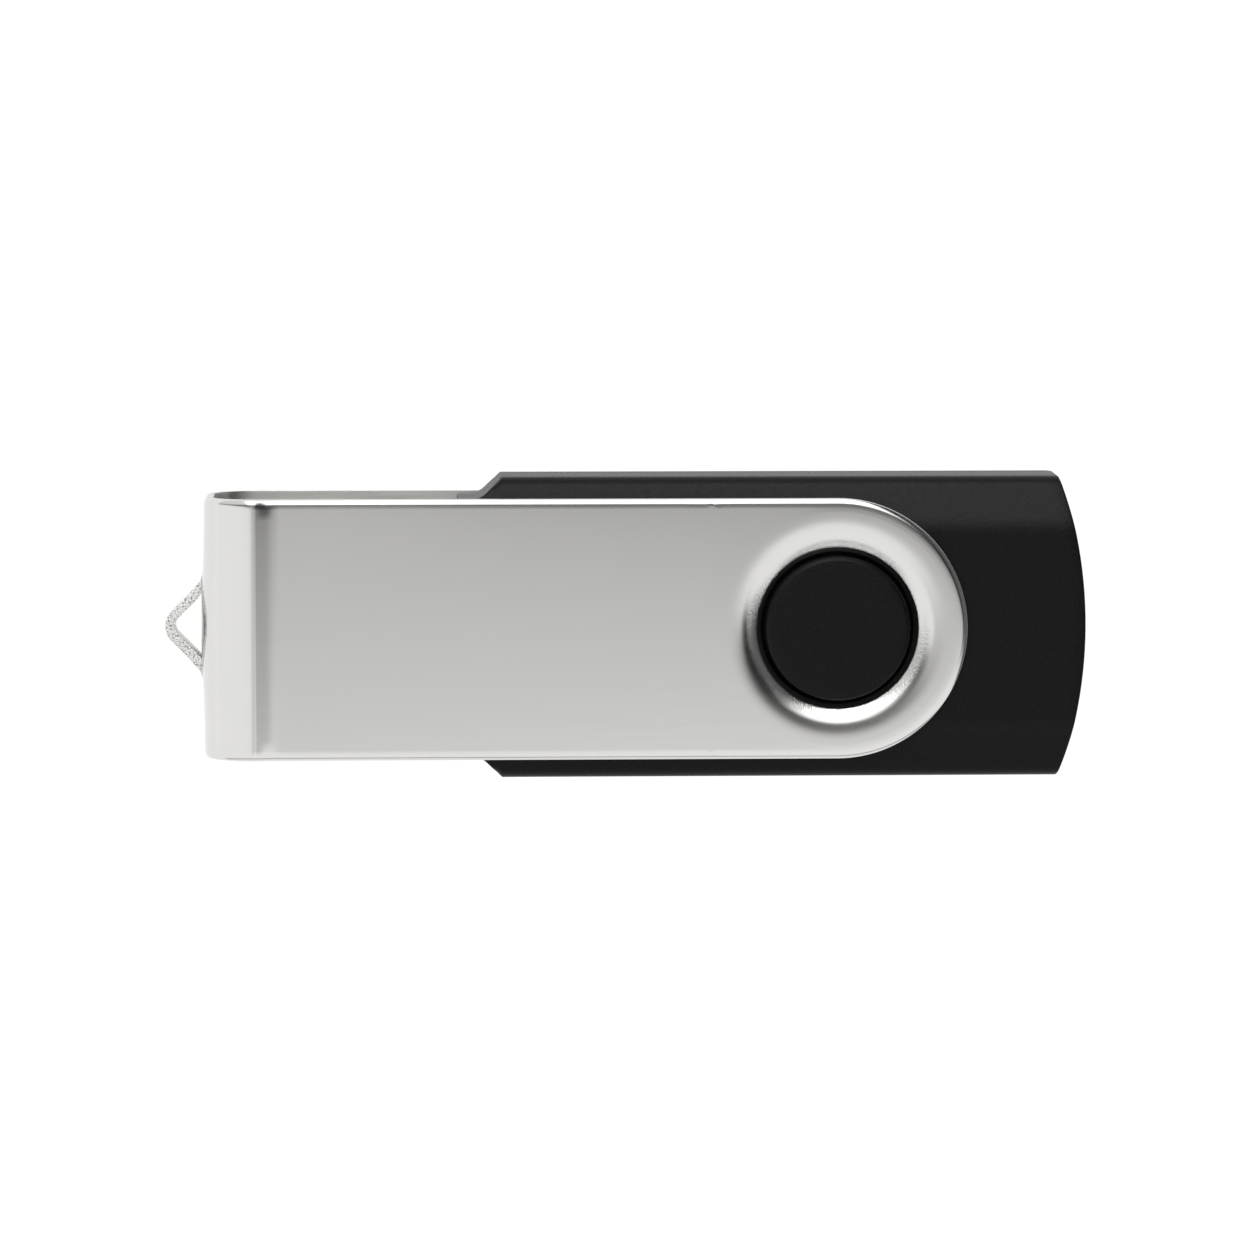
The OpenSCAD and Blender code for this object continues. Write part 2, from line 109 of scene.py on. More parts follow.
# Housing: the outer form of one half
REAR = shell_high.x
FRONT = shell_low.x
BODY_HALF = shell_high.y
REAR_ARC = 28.0
REAR_BLEND = 12
NECK_HALF = 8.1
NECK_ROUND = 0.25
SHOULDER_BACK = 2.7
SHOULDER_ARC = 1.5
FACE_HEIGHT = HEIGHT / 2 - SHEET - 0.1
BEVEL_WIDTH = 3.2
BEVEL_DROP = 1.1
CREASE_RADIUS = 4.0
SIDE_ROUND = 0.8
SIDE_DRAFT = 0.035
END_ROUND = 0.14
SEAM = 0.07
SEAM_RUN = 0.5
SKIN = 0.01
FORM_FOOT = 1.5
CROSS_CELLS = 16
BOSS_RADIUS = 4.5
BOSS_SINK = 0.1
BOSS_ROUND = 0.3
BOSS_FOOT = 2.5

# Plug
PLUG_SHEET = 0.3
PLUG_HALF_HEIGHT = 2.25
PLUG_CORNER = 0.6
PLUG_LENGTH = 18.75
PLUG_SEAM = 0.04
PLUG_CURL = 0.12
PLUG_CURL_LENGTH = 0.6
PLUG_BURR = 0.07
WINDOW_SETBACK = 5.16
WINDOW_LENGTH = 2.0
WINDOW_NEAR = 2.25
WINDOW_FAR = 4.75
TAB_LENGTH = 2.75
TAB_LEG = 1.2
BOARD_TOP = -0.05
BOARD_BOTTOM = -1.05


# ---------- mesh building ----------


def new_object(name, points, faces, body):
    """A mesh piece from points in millimetres that rides on a CAD body."""
    mesh = bpy.data.meshes.new(name)
    mesh.from_pydata([Vector(p) * MM for p in points], [], faces)
    mesh.validate()
    obj = bpy.data.objects.new(name, mesh)
    bpy.context.scene.collection.objects.link(obj)
    if body:
        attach(obj, body)
    return obj


def outward(mesh):
    """Turns every face of a closed mesh to look outward."""
    work = bmesh.new()
    work.from_mesh(mesh)
    bmesh.ops.recalc_face_normals(work, faces=work.faces)
    work.to_mesh(mesh)
    work.free()


def shade_smooth(mesh, sharp_degrees=None):
    """Smooth shading, with the edges that turn by more than an angle kept sharp."""
    mesh.polygons.foreach_set("use_smooth", [True] * len(mesh.polygons))
    if sharp_degrees is not None:
        mesh.set_sharp_from_angle(angle=radians(sharp_degrees))


class Sheet:
    """Cells of a bent sheet. Each corner has a point on the outer face and one on the inner face."""

    def __init__(self):
        self.index = {}
        self.outer = []
        self.inner = []
        self.cells = []

    def corner(self, outer, inner):
        """The number of a corner. A corner that is already there is used again."""
        key = tuple(round(value, 3) for value in outer)
        if key not in self.index:
            self.index[key] = len(self.outer)
            self.outer.append(tuple(outer))
            self.inner.append(tuple(inner))
        return self.index[key]

    def grid(self, rows, closed=False):
        """Adds the cells between neighbouring rows of (outer, inner) points."""
        ids = [[self.corner(*pair) for pair in row] for row in rows]
        for a, b in zip(ids, ids[1:]):
            count = len(a) if closed else len(a) - 1
            for i in range(count):
                j = (i + 1) % len(a)
                self.cells.append((a[i], a[j], b[j], b[i]))

    def build(self, name, body, eased):
        """Closes the sheet with walls along its open edges and marks the edges to be eased.

        Material slots: 0 for the outer faces, 1 for the walls, 2 for the inner faces.
        """
        uses = {}
        for cell in self.cells:
            for a, b in zip(cell, cell[1:] + cell[:1]):
                uses.setdefault(frozenset((a, b)), []).append((a, b))
        open_edges = [pairs[0] for pairs in uses.values() if len(pairs) == 1]
        shift = len(self.outer)
        faces = list(self.cells)
        faces += [tuple(shift + i for i in reversed(cell)) for cell in self.cells]
        faces += [(b, a, shift + a, shift + b) for a, b in open_edges]
        obj = new_object(name, self.outer + self.inner, faces, body)
        mesh = obj.data
        count = len(self.cells)
        for polygon in list(mesh.polygons)[count:]:
            polygon.material_index = 2 if polygon.index < 2 * count else 1
        outward(mesh)
        shade_smooth(mesh)
        weights = mesh.attributes.new("bevel_weight_edge", "FLOAT", "EDGE")
        edge_set = {frozenset(pair) for pair in open_edges}
        for edge in mesh.edges:
            a, b = edge.vertices
            on_rim = frozenset((a % shift, b % shift)) in edge_set
            if on_rim and (a < shift) == (b < shift):
                middle = (Vector(self.outer[a % shift]) + Vector(self.outer[b % shift])) / 2
                weights.data[edge.index].value = 1.0 if a >= shift or eased(middle) else 0.0
        return obj


def round_edges(obj, width, by_weight=False):
    """Rounds an object's edges by modifier: those marked, or those that turn by more than 35 degrees."""
    bevel = obj.modifiers.new("rounded_edges", "BEVEL")
    bevel.width = width * MM
    bevel.segments = 3
    bevel.limit_method = "WEIGHT" if by_weight else "ANGLE"
    bevel.angle_limit = radians(35)
    bevel.use_clamp_overlap = True


def evaluated_copy(obj, name):
    """A new mesh with an object's modifiers applied."""
    graph = bpy.context.evaluated_depsgraph_get()
    mesh = bpy.data.meshes.new_from_object(obj.evaluated_get(graph), depsgraph=graph)
    mesh.name = name
    return mesh


def spread(start, end, count):
    """count + 1 even steps from start to end."""
    return [start + (end - start) * i / count for i in range(count + 1)]


# ---------- cover ----------


def dish_slope(radius):
    """Slope of the dished rim: it grows slowly, turns over a lip and runs down a short collar."""
    slope = DISH_CURVE * (DISH_RADIUS - radius) ** 3
    if radius < LIP_RADIUS:
        share = min(1.0, (LIP_RADIUS - radius) / (LIP_RADIUS - COLLAR_RADIUS))
        at_lip = DISH_CURVE * (DISH_RADIUS - LIP_RADIUS) ** 3
        slope = at_lip + (COLLAR_SLOPE - at_lip) * share
    return slope


def dish_profile():
    """The dished rim from the hole outward, as pairs of (radius, depth) on its outer and inner faces."""
    radii = spread(DISH_RADIUS, LIP_RADIUS, 18)
    radii += spread(LIP_RADIUS, COLLAR_RADIUS, 5)[1:] + spread(COLLAR_RADIUS, HOLE_RADIUS, 3)[1:]
    thickness = SHEET - RIDGE
    depth = 0.0
    last = radii[0]
    pairs = []
    for radius in radii:
        depth += (last - radius) * tan(dish_slope((radius + last) / 2))
        slope = dish_slope(radius)
        pairs.append(((radius, depth), (radius + thickness * sin(slope), depth + thickness * cos(slope))))
        last = radius
    return list(reversed(pairs))


def column_places():
    """Places across the strip's width, from +Y to -Y, close together on its rolled edges."""
    edge = [PLATE_HALF - ROLL_WIDTH * share for share in ROLL_SHARES]
    side = edge + spread(edge[-1], SLIT_HALF, 6)[1:]
    middle = spread(SLIT_HALF, -SLIT_HALF, 10)[1:-1]
    return side + middle + [-y for y in reversed(side)]


def plate_rim():
    """Points round the end of a plate, about the hole: a half circle, then three sides of a square."""
    half = PLATE_HALF
    rim = [(half * cos(a), half * sin(a)) for a in spread(-pi / 2, pi / 2, 64)]
    rim += [(x, half) for x in spread(0, -half, 16)[1:]]
    rim += [(-half, y) for y in column_places()[1:]]
    rim += [(x, -half) for x in spread(-half, 0, 16)[1:-1]]
    return rim


def rolled(edge_place):
    """How far the outer face falls towards a blanked edge."""
    share = edge_place / PLATE_HALF
    fall = DROOP * share**8
    inset = PLATE_HALF - edge_place
    if inset < ROLL_WIDTH:
        fall += ROLL_DEPTH * (1 - sqrt(max(0.0, 1 - (1 - inset / ROLL_WIDTH) ** 2)))
    return fall


def sunk(x):
    """How far the plate lies below the raised line left by the fold."""
    reach = min(1.0, max(0.0, x - FOLD_X) / RIDGE_WIDTH)
    return RIDGE * (reach - 2 * reach**7 / 7 + reach**13 / 13) * 91 / 72


def corner_dent(x, y):
    """The small hollow that bending leaves at each end of the fold line."""
    reach = min(1.0, max(0.0, x - FOLD_X) / DENT_LENGTH)
    side = min(1.0, max(0.0, abs(y) - PLATE_HALF + DENT_INSET) / DENT_FADE)
    return DENT * side * sin(pi * reach) ** 2


def add_plate(sheet, upper):
    """One plate from its dished hole to the start of the fold."""

    def place(x, y, depth):
        return (PIVOT + x, y, HEIGHT - depth if upper else depth)

    def pair(x, y):
        edge_place = abs(y) if x <= 0 else sqrt(x * x + y * y)
        depth = sunk(PIVOT + x) + corner_dent(PIVOT + x, y) + rolled(edge_place)
        return (place(x, y, depth), place(x, y, SHEET))

    rim = plate_rim()
    headings = [(x / sqrt(x * x + y * y), y / sqrt(x * x + y * y)) for x, y in rim]
    rings = []
    for (r_outer, d_outer), (r_inner, d_inner) in dish_profile():
        ring = []
        for c, s in headings:
            outer = place(r_outer * c, r_outer * s, RIDGE + d_outer)
            ring.append((outer, place(r_inner * c, r_inner * s, RIDGE + d_inner)))
        rings.append(ring)
    for roll_share in reversed(ROLL_SHARES):
        shrink = 1 - roll_share * ROLL_WIDTH / PLATE_HALF
        rings.append([pair(x * shrink, y * shrink) for x, y in rim])
    sheet.grid(rings, closed=True)
    bend = [FOLD_X - PIVOT + RIDGE_WIDTH * share for share in (0, 0.05, *spread(0.13, 1, 10))]
    stations = spread(-PLATE_HALF, bend[-1], 14) + list(reversed(bend[:-1]))
    sheet.grid([[pair(x, y) for y in column_places()] for x in stations])


def bulge(y, z):
    """How far pressing out the loop has pulled the folded end outward."""
    above = (z - MIDDLE) / MIDDLE
    share = 0.6 + 0.4 * max(-1.0, min(1.0, 4 * above))
    return WEB_BULGE * share * exp(-((y / BULGE_SPREAD) ** 2)) * (1 - above * above) ** 2


def add_fold(sheet, upper):
    """A quarter turn from a plate down to the folded end."""
    rows = []
    for angle in spread(0, pi / 2, 24):
        row = []
        for y in column_places():
            pair = []
            for depth in (rolled(abs(y)), SHEET):
                radius = FOLD_RADIUS - depth
                z = FOLD_RADIUS - radius * cos(angle)
                z = HEIGHT - z if upper else z
                pair.append((FOLD_X - radius * sin(angle) - bulge(y, z), y, z))
            row.append(tuple(pair))
        rows.append(row)
    sheet.grid(rows)


def web_pair(y, z):
    """A point of the folded end, outer face and inner face."""
    pull = bulge(y, z)
    return ((WEB_X + rolled(abs(y)) - pull, y, z), (WEB_X + SHEET - pull, y, z))


def add_web(sheet):
    """The flat folded end with the slits above and below the loop."""
    top, bottom = HEIGHT - FOLD_RADIUS, FOLD_RADIUS
    strip_top, strip_bottom = MIDDLE + LOOP_STRIP / 2, MIDDLE - LOOP_STRIP / 2
    places = column_places()
    for high, low, gap in ((top, strip_top, SLIT_GAP), (strip_bottom, bottom, -SLIT_GAP)):
        rows = []
        for share in spread(0, 1, 3):
            row = []
            for y in places:
                inside = abs(y) < SLIT_HALF - 0.01
                z_high = high + (gap if inside and gap < 0 else 0)
                z_low = low + (gap if inside and gap > 0 else 0)
                row.append(web_pair(y, z_high + (z_low - z_high) * share))
            rows.append(row)
        sheet.grid(rows)
    for side in (1, -1):
        outside = [y for y in places if side * y >= SLIT_HALF - 0.01]
        sheet.grid([[web_pair(y, z) for y in outside] for z in spread(strip_top, strip_bottom, 4)])


def loop_path():
    """Plan of the lanyard loop from one root to the other, as (outer point, outward heading)."""
    slope = pi / 4
    meets = LOOP_REACH - LOOP_NOSE + LOOP_NOSE / cos(slope)
    root_round = (SLIT_HALF - meets) / tan(slope / 2)
    path = []
    for angle in spread(0, slope, 6):
        x = WEB_X - root_round + root_round * cos(angle)
        path.append(((x, SLIT_HALF - root_round * sin(angle)), (-cos(angle), sin(angle))))
    leg_start = path[-1][0]
    nose = (WEB_X - LOOP_REACH + LOOP_NOSE, 0)
    leg_end = (nose[0] - LOOP_NOSE * cos(slope), LOOP_NOSE * sin(slope))
    for share in spread(0, 1, 5)[1:-1]:
        x = leg_start[0] + (leg_end[0] - leg_start[0]) * share
        y = leg_start[1] + (leg_end[1] - leg_start[1]) * share
        path.append(((x, y), (-cos(slope), sin(slope))))
    for angle in spread(slope, 0, 6):
        path.append(((nose[0] - LOOP_NOSE * cos(angle), LOOP_NOSE * sin(angle)), (-cos(angle), sin(angle))))
    mirrored = [((x, -y), (nx, -ny)) for (x, y), (nx, ny) in reversed(path[:-1])]
    return path + mirrored


def add_loop(sheet):
    """The strip pressed out between the slits."""
    rows = []
    for z in spread(MIDDLE + LOOP_STRIP / 2, MIDDLE - LOOP_STRIP / 2, 4):
        row = []
        for (x, y), (nx, ny) in loop_path():
            near_web = max(0.0, 1 - (WEB_X - x))
            pull = bulge(y, z) * near_web
            row.append(((x - pull, y, z), (x - nx * SHEET - pull, y - ny * SHEET, z)))
        rows.append(row)
    sheet.grid(rows)


def make_cover():
    """The folded steel cover as one sheet."""
    sheet = Sheet()
    for upper in (True, False):
        add_plate(sheet, upper)
        add_fold(sheet, upper)
    add_web(sheet)
    add_loop(sheet)

    def eased(point):
        """Only the slits' and the loop's outer edges are eased; the rest are rolled."""
        return point.x < WEB_X + 0.2 and abs(point.z - MIDDLE) < 1.5 and abs(point.y) < PLATE_HALF - 1

    cover = sheet.build("swivel_cover_steel", "cover", eased)
    round_edges(cover, BURR, by_weight=True)
    for material in (satin_nickel(), sheared_steel(), inner_nickel()):
        cover.data.materials.append(material)
    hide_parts("swivel_cover")


# ---------- housing ----------


def section_points(half_width, round_radius):
    """Upper half of the housing's cross-section from the parting line over the top, +Y to -Y."""
    slope = atan(BEVEL_DROP / BEVEL_WIDTH)
    crease_y = BODY_HALF - BEVEL_WIDTH
    face = FACE_HEIGHT - SKIN

    def bevel_height(y):
        return face - max(0.0, y - crease_y) * tan(slope)

    round_y = half_width - round_radius - SIDE_DRAFT * (FACE_HEIGHT - BEVEL_DROP)
    round_z = bevel_height(round_y) - round_radius / cos(slope)
    draft = atan(SIDE_DRAFT)
    tangent_y = round_y + round_radius * cos(draft)
    tangent_z = round_z + round_radius * sin(draft)
    side = [(half_width - SEAM, -FORM_FOOT), (half_width - SEAM, 0), (half_width, SEAM)]
    for share in (0.03, *spread(0, 1, 3)[1:]):
        side.append((half_width + (tangent_y - half_width) * share, SEAM + (tangent_z - SEAM) * share))
    for angle in spread(draft, pi / 2 - slope, 7)[1:]:
        side.append((round_y + round_radius * cos(angle), round_z + round_radius * sin(angle)))
    tangent = CREASE_RADIUS * tan(slope / 2)
    bevel_end = (crease_y + tangent * cos(slope), face - tangent * sin(slope))
    start_y, start_z = side[-1]
    for share in spread(0, 1, 4)[1:]:
        side.append((start_y + (bevel_end[0] - start_y) * share, start_z + (bevel_end[1] - start_z) * share))
    centre = (crease_y - tangent, face - CREASE_RADIUS)
    for angle in spread(slope, 0, 6)[1:]:
        side.append((centre[0] + CREASE_RADIUS * sin(angle), centre[1] + CREASE_RADIUS * cos(angle)))
    flat_start = side[-1][0]
    side += [(y, face) for y in spread(flat_start, 0, 8)[1:]]
    return side + [(-y, z) for y, z in reversed(side[:-1])]


def shoulder_half_width(x):
    """Half the housing's width at a distance behind its front wall."""
    step = BODY_HALF - NECK_HALF
    slope_start = SHOULDER_BACK - step
    tangent = SHOULDER_ARC * tan(pi / 8)
    arc_start = slope_start - tangent
    arc_end = slope_start + tangent * cos(pi / 4)
    if x <= arc_start:
        return NECK_HALF
    if x <= arc_end:
        return NECK_HALF + SHOULDER_ARC - sqrt(SHOULDER_ARC**2 - (x - arc_start) ** 2)
    return min(BODY_HALF, NECK_HALF + x - slope_start)


def housing_stations(length):
    """Places along the housing, counted back from its front wall."""
    rim = [END_ROUND * (1 - cos(angle)) for angle in spread(0, pi / 2, 4)]
    slope_start = SHOULDER_BACK - (BODY_HALF - NECK_HALF)
    tangent = SHOULDER_ARC * tan(pi / 8)
    near = [SKIN + x for x in rim] + [slope_start - tangent]
    near += spread(slope_start - tangent, slope_start + tangent * cos(pi / 4), 6)[1:]
    near += spread(near[-1], SHOULDER_BACK, 3)[1:]
    return near + spread(SHOULDER_BACK, length - END_ROUND, 46)[1:-1] + [length - x for x in reversed(rim)]


def rim_inset(to_end):
    """How far the section draws in on the rounded rim, at a distance from the end."""
    if to_end >= END_ROUND:
        return 0.0
    return END_ROUND - sqrt(END_ROUND**2 - (END_ROUND - to_end) ** 2)


def rear_place(y, z):
    """A point on the curved rear end, drawn in along the parting line."""
    seam = SEAM if z < MIDDLE + SEAM / 2 else 0.0
    return (REAR - SKIN - REAR_ARC + sqrt(REAR_ARC**2 - y * y) - seam, y, z)


def fill_rear(points, ring, section_count):
    """Closes the rear end with a grid that follows its curve. The ring holds the last section's points."""
    shares = spread(1, -1, CROSS_CELLS)
    flat_start = section_count // 2 - CROSS_CELLS // 2
    rows = [[ring[0]] + ring[: section_count - 1 : -1] + [ring[section_count - 1]]]
    for i in range(1, flat_start):
        y, z = points[ring[i]][1:]
        row = [ring[i]]
        for share in shares[1:-1]:
            row.append(len(points))
            points.append(rear_place(y * share, z))
        rows.append(row + [ring[section_count - 1 - i]])
    rows.append(ring[flat_start : flat_start + CROSS_CELLS + 1])
    return [(a[i], a[i + 1], b[i + 1], b[i]) for a, b in zip(rows, rows[1:]) for i in range(CROSS_CELLS)]


def envelope_mesh():
    """Closed outer form of the upper half: soft creases, shoulders, rounded ends."""
    length = REAR - FRONT - SKIN
    rows = []
    for x in housing_stations(length):
        inset = rim_inset(min(x - SKIN, length - x))
        half_width = shoulder_half_width(x) - SKIN
        round_radius = SIDE_ROUND if half_width > NECK_HALF + SIDE_ROUND else NECK_ROUND
        blend = max(0.0, (x - length + REAR_BLEND) / REAR_BLEND)
        section = section_points(half_width - inset, round_radius)
        base_y, base_z = section[0]
        base = [(-base_y * share, base_z) for share in spread(1, -1, CROSS_CELLS)[1:-1]]
        row = []
        for y, z in section + base:
            end_drop = REAR_ARC - sqrt(REAR_ARC**2 - y * y)
            height = z * (1 - inset / FACE_HEIGHT) if z > 0 else z
            seam = SEAM * max(0.0, 1 - (length - x) / SEAM_RUN) if z <= 0 else 0.0
            row.append((FRONT + x - end_drop * blend - seam, y, MIDDLE + height))
        rows.append(row)
    count = len(rows[0])
    points = [p for row in rows for p in row]
    faces = [tuple(range(count))]
    for r in range(len(rows) - 1):
        for i in range(count):
            j = (i + 1) % count
            faces.append((r * count + i, r * count + j, (r + 1) * count + j, (r + 1) * count + i))
    ring = list(range((len(rows) - 1) * count, len(rows) * count))
    faces += fill_rear(points, ring, len(section))
    mesh = bpy.data.meshes.new("envelope")
    mesh.from_pydata([Vector(p) * MM for p in points], [], faces)
    outward(mesh)
    return mesh


def lathe_mesh(name, profile, centre, steps=128):
    """A closed turned solid from (radius, height) points, first and last on the axis."""
    points = [(centre[0], centre[1], profile[0][1]), (centre[0], centre[1], profile[-1][1])]
    rings = profile[1:-1]
    for radius, z in rings:
        for k in range(steps):
            angle = 2 * pi * k / steps
            points.append((centre[0] + radius * cos(angle), centre[1] + radius * sin(angle), z))
    faces = []
    for k in range(steps):
        n = (k + 1) % steps
        faces.append((0, 2 + n, 2 + k))
        last = 2 + (len(rings) - 1) * steps
        faces.append((1, last + k, last + n))
        for r in range(len(rings) - 1):
            base = 2 + r * steps
            faces.append((base + k, base + n, base + steps + n, base + steps + k))
    mesh = bpy.data.meshes.new(name)
    mesh.from_pydata([Vector(p) * MM for p in points], [], faces)
    outward(mesh)
    return mesh


def boss_mesh():
    """The round boss with its softened rim."""
    top = HEIGHT - BOSS_SINK - SKIN
    radius = BOSS_RADIUS - SKIN
    foot = MIDDLE + BOSS_FOOT
    profile = [(0, foot), (radius, foot)]
    profile += [(radius, z) for z in spread(foot, top - BOSS_ROUND, 3)[1:]]
    for angle in spread(0, pi / 2, 6)[1:]:
        z = top - BOSS_ROUND + BOSS_ROUND * sin(angle)
        profile.append((radius - BOSS_ROUND + BOSS_ROUND * cos(angle), z))
    profile += [(r, top) for r in spread(radius - BOSS_ROUND, 0, 7)[1:-1]]
    profile.append((0, top))
    return lathe_mesh("boss", profile, (PIVOT, 0))


def combine(base, tool, operation):
    """Adds a solid boolean of one object with another."""
    modifier = base.modifiers.new("combine_" + operation.lower(), "BOOLEAN")
    modifier.operation = operation
    modifier.solver = "EXACT"
    modifier.object = tool


def welded_copy(node):
    """A CAD node's mesh with its split corners joined, as a scratch object."""
    mesh = frame["nodes"][node].data.copy()
    mesh.materials.clear()
    work = bmesh.new()
    work.from_mesh(mesh)
    bmesh.ops.remove_doubles(work, verts=work.verts, dist=0.0005 * MM)
    work.to_mesh(mesh)
    work.free()
    obj = bpy.data.objects.new("scratch_" + node, mesh)
    bpy.context.scene.collection.objects.link(obj)
    return obj


def make_shell(node, upper):
    """A housing half: the CAD part's inside, ribs and pegs within a finely shaped outer form."""
    mesh = envelope_mesh()
    boss = boss_mesh()
    if not upper:
        flip = Matrix.Translation((0, 0, HEIGHT * MM)) @ Matrix.Diagonal((1, 1, -1, 1))
        for part in (mesh, boss):
            part.transform(flip)
            outward(part)
    form = bpy.data.objects.new("scratch_form", mesh)
    knob = bpy.data.objects.new("scratch_boss", boss)
    for obj in (form, knob):
        bpy.context.scene.collection.objects.link(obj)
    inside = welded_copy(node)
    combine(form, knob, "UNION")
    combine(form, inside, "INTERSECT")
    final = evaluated_copy(form, node + "_moulding")
    for obj in (form, knob, inside):
        bpy.data.objects.remove(obj)
    final.materials.clear()
    shade_smooth(final, 30)
    shell = bpy.data.objects.new(node + "_moulding", final)
    bpy.context.scene.collection.objects.link(shell)
    final.materials.append(moulded_plastic())
    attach(shell, "housing")
    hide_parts(node)


# ---------- materials ----------


class Shader:
    """A Principled material with short calls for adding and linking nodes."""

    def __init__(self, name, **settings):
        self.material = bpy.data.materials.new(name)
        self.material.use_nodes = True
        self.tree = self.material.node_tree
        self.bsdf = self.tree.nodes["Principled BSDF"]
        for key, value in settings.items():
            self.bsdf.inputs[key.replace("_", " ")].default_value = value
        self.place = self.tree.nodes.new("ShaderNodeTexCoord").outputs["Object"]

    def node(self, kind, links=None, **settings):
        made = self.tree.nodes.new("ShaderNode" + kind)
        for key, value in settings.items():
            if key in made.inputs:
                made.inputs[key].default_value = value
            else:
                setattr(made, key, value)
        for key, source in (links or {}).items():
            self.tree.links.new(source, made.inputs[key])
        return made

    def stretched(self, scale):
        return self.node("Mapping", {"Vector": self.place}, Scale=scale).outputs["Vector"]

    def noise(self, size_mm, detail=2.0, roughness=0.5, where=None):
        made = self.node(
            "TexNoise",
            {"Vector": where or self.place},
            Scale=1 / (size_mm * MM),
            Detail=detail,
            Roughness=roughness,
        )
        return made.outputs["Fac"]

    def ramp(self, source, low, high, to_low, to_high):
        made = self.node("MapRange", {"Value": source}, interpolation_type="SMOOTHSTEP")
        for key, value in (("From Min", low), ("From Max", high), ("To Min", to_low), ("To Max", to_high)):
            made.inputs[key].default_value = value
        return made.outputs["Result"]

    def mix(self, share, first, second):
        made = self.node("Mix", {0: share}, data_type="RGBA")
        for slot, value in ((6, first), (7, second)):
            if hasattr(value, "is_linked"):
                self.tree.links.new(value, made.inputs[slot])
            else:
                made.inputs[slot].default_value = (*value, 1)
        return made.outputs[2]

    def add(self, first, second):
        made = self.node("Math", operation="ADD")
        for i, value in enumerate((first, second)):
            if hasattr(value, "is_linked"):
                self.tree.links.new(value, made.inputs[i])
            else:
                made.inputs[i].default_value = value
        return made.outputs[0]

    def bump(self, height, depth_mm):
        made = self.node("Bump", {"Height": height}, Strength=1.0, Distance=depth_mm * MM)
        self.tree.links.new(made.outputs["Normal"], self.bsdf.inputs["Normal"])

    def link(self, source, socket):
        self.tree.links.new(source, self.bsdf.inputs[socket])


def satin_nickel():
    """Nickel plate over rolled sheet: fine grain, faint rolling streaks, slightly uneven gloss."""
    s = Shader("satin_nickel", Metallic=1.0)
    cloudy = s.noise(9, detail=2)
    s.link(s.mix(s.ramp(cloudy, 0.3, 0.7, 0, 1), (0.688, 0.682, 0.668), (0.696, 0.69, 0.676)), "Base Color")
    streaks = s.noise(0.35, detail=3, where=s.stretched((0.06, 1, 1)))
    gloss = s.add(s.ramp(cloudy, 0.3, 0.7, 0.13, 0.14), s.ramp(streaks, 0.35, 0.65, -0.006, 0.006))
    s.link(gloss, "Roughness")
    flat = s.node("Mapping", {"Vector": s.place}, Scale=(1, 1, 0)).outputs["Vector"]
    reach = s.node("VectorMath", {0: flat}, operation="DISTANCE")
    reach.inputs[1].default_value = (PIVOT * MM, 0, 0)
    pressed = s.ramp(reach.outputs["Value"], 5.35 * MM, 5.85 * MM, 1, 0.006)
    grain = s.node("Math", {0: s.noise(0.09, detail=2), 1: pressed}, operation="MULTIPLY")
    s.bump(grain.outputs[0], 0.02)
    return s.material


def inner_nickel():
    """The unpolished inner face of the sheet: the same plate, duller and more strongly streaked."""
    s = Shader("inner_nickel", Metallic=1.0)
    streaks = s.noise(0.5, detail=3, where=s.stretched((0.06, 1, 1)))
    s.link(s.mix(s.ramp(streaks, 0.3, 0.7, 0, 1), (0.62, 0.615, 0.6), (0.67, 0.665, 0.65)), "Base Color")
    s.link(s.ramp(streaks, 0.35, 0.65, 0.36, 0.44), "Roughness")
    s.bump(s.noise(0.1, detail=2), 0.001)
    return s.material


def sheared_steel():
    """The cut edge of the sheet: a smooth sheared band and a torn, speckled one."""
    s = Shader("sheared_steel", Metallic=1.0)
    torn = s.noise(0.13, detail=4, roughness=0.7)
    s.link(s.mix(s.ramp(torn, 0.5, 0.62, 0, 1), (0.8, 0.795, 0.78), (0.3, 0.295, 0.285)), "Base Color")
    s.link(s.ramp(torn, 0.35, 0.65, 0.45, 0.7), "Roughness")
    s.bump(torn, 0.05)
    return s.material


def moulded_plastic():
    """Black moulded plastic with a fine spark-eroded texture."""
    s = Shader("moulded_plastic", Specular_IOR_Level=0.15)
    grain = s.noise(0.16, detail=3, roughness=0.6)
    black = s.mix(s.ramp(grain, 0.35, 0.7, 0, 1), (0.002, 0.002, 0.0021), (0.0045, 0.0045, 0.0046))
    s.link(black, "Base Color")
    s.link(s.ramp(grain, 0.35, 0.65, 0.34, 0.42), "Roughness")
    s.bump(grain, 0.012)
    return s.material


def plain_grain(name, color, rough, size_mm, depth_mm, metallic=0.0, spread_share=0.12):
    """A moulded, plated or fired finish with a fine uneven grain."""
    s = Shader(name, Metallic=metallic)
    grain = s.noise(size_mm, detail=3)
    dark = tuple(c * (1 - spread_share) for c in color)
    s.link(s.mix(s.ramp(grain, 0.35, 0.65, 0, 1), dark, color), "Base Color")
    s.link(s.ramp(grain, 0.35, 0.65, rough * 0.9, min(1.0, rough * 1.15)), "Roughness")
    s.bump(grain, depth_mm)
    return s.material


# ---------- carried-over CAD pieces ----------


def finish_cad_node(node, material, edge):
    """Gives a CAD node its material and softens its edges by modifiers alone."""
    obj = frame["nodes"][node]
    obj.data.materials.clear()
    obj.data.materials.append(material)
    weld = obj.modifiers.new("join_corners", "WELD")
    weld.merge_threshold = 0.0005 * MM
    flat = obj.modifiers.new("merge_flats", "DECIMATE")
    flat.decimate_type = "DISSOLVE"
    flat.angle_limit = radians(0.5)
    round_edges(obj, edge)


